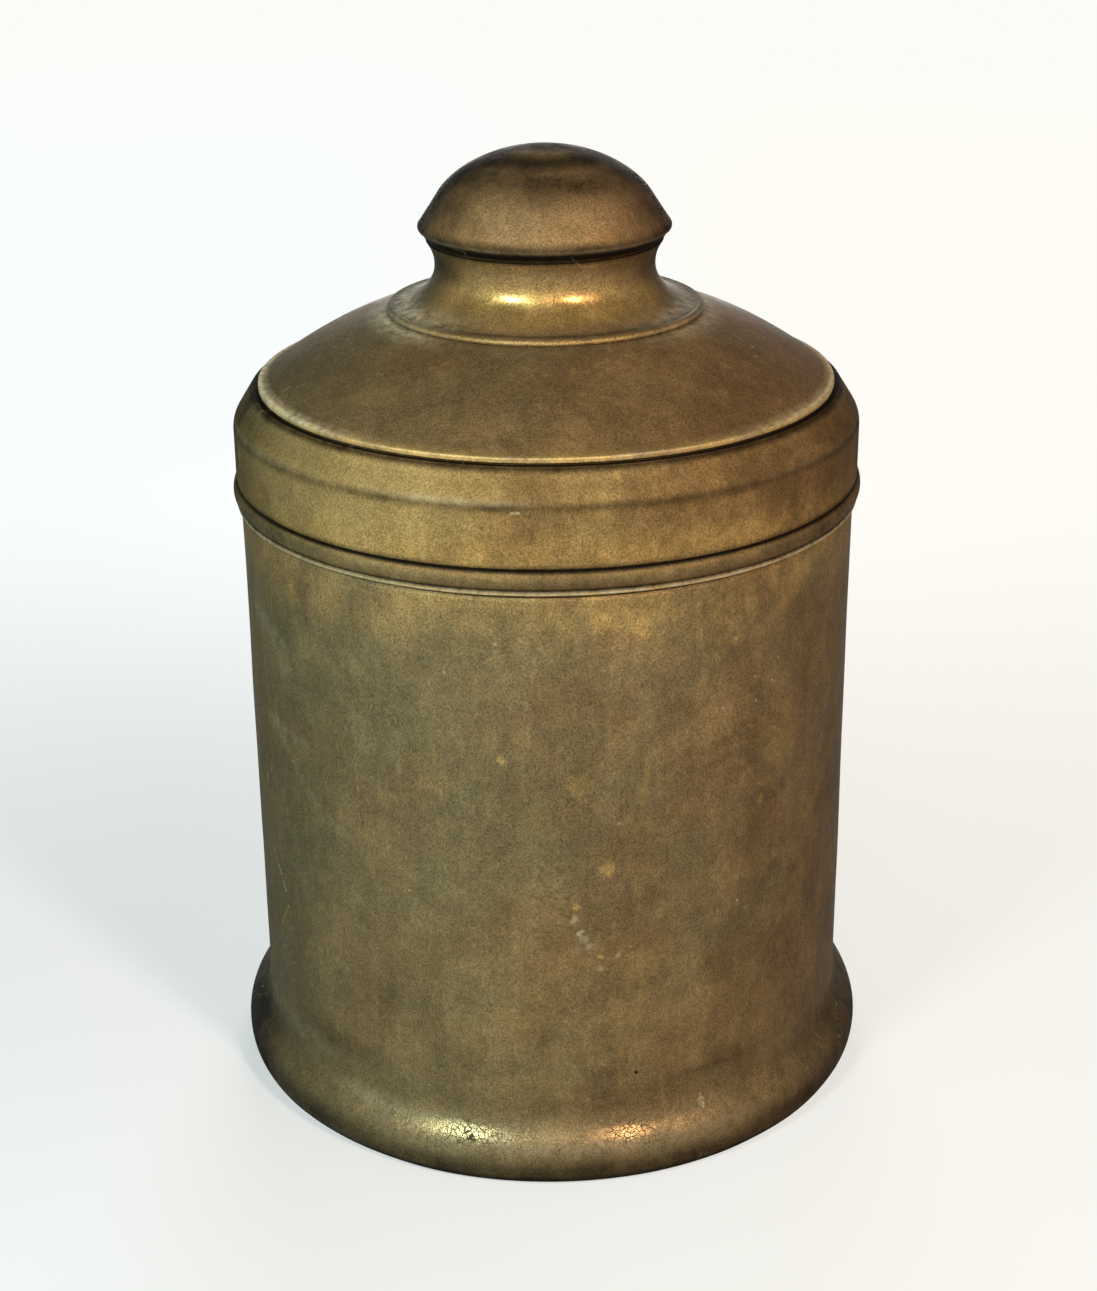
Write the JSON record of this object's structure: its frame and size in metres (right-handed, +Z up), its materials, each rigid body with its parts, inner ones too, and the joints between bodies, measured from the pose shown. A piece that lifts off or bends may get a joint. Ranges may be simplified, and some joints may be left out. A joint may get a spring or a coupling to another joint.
{
  "type": "tobacco humidor",
  "caption": "Round brass tobacco jar on a rolled foot, with a slip-on domed lid, a waisted knob, a moistener under the lid and a loose press inside.",
  "frame": {"origin": "on the table at the centre of the foot", "axes": "+Z up along the jar's axis; -Y faces the viewer of the picture"},
  "size_m": [0.1142, 0.1142, 0.1646],
  "materials": {
    "aged_brass": "tarnished, softly polished",
    "bare_brass": "turned, lightly tarnished",
    "tin": "dull tin",
    "cork": "matte",
    "clay": "unglazed, matte"
  },
  "bodies": {
    "jar": {"jar_wall": "aged_brass", "base_plate": "aged_brass", "tin_liner": "tin"},
    "lid": {"lid_rim": "aged_brass", "cork_seal": "cork", "lid_dome": "aged_brass", "knob_stem": "aged_brass", "knob_cap": "aged_brass", "tie_rod": "bare_brass", "rod_washer": "bare_brass", "rod_nut": "bare_brass", "moistener_collar": "bare_brass"},
    "moistener": {"moistener_sleeve": "bare_brass", "moistener_grille": "bare_brass", "moistener_clay": "clay"},
    "press": {"press_plate": "tin", "press_knob": "bare_brass", "press_screw": "bare_brass"}
  },
  "joints": [
    {"name": "lid_lift", "type": "slide", "parent": "jar", "child": "lid", "axis": [0, 0, 1], "range_m": [0, 0.12]},
    {"name": "moistener_pull", "type": "slide", "parent": "lid", "child": "moistener", "axis": [0, 0, -1], "range_m": [0, 0.012]},
    {"name": "press_slide", "type": "slide", "parent": "jar", "child": "press", "axis": [0, 0, 1], "range_m": [0, 0.075]}
  ]
}
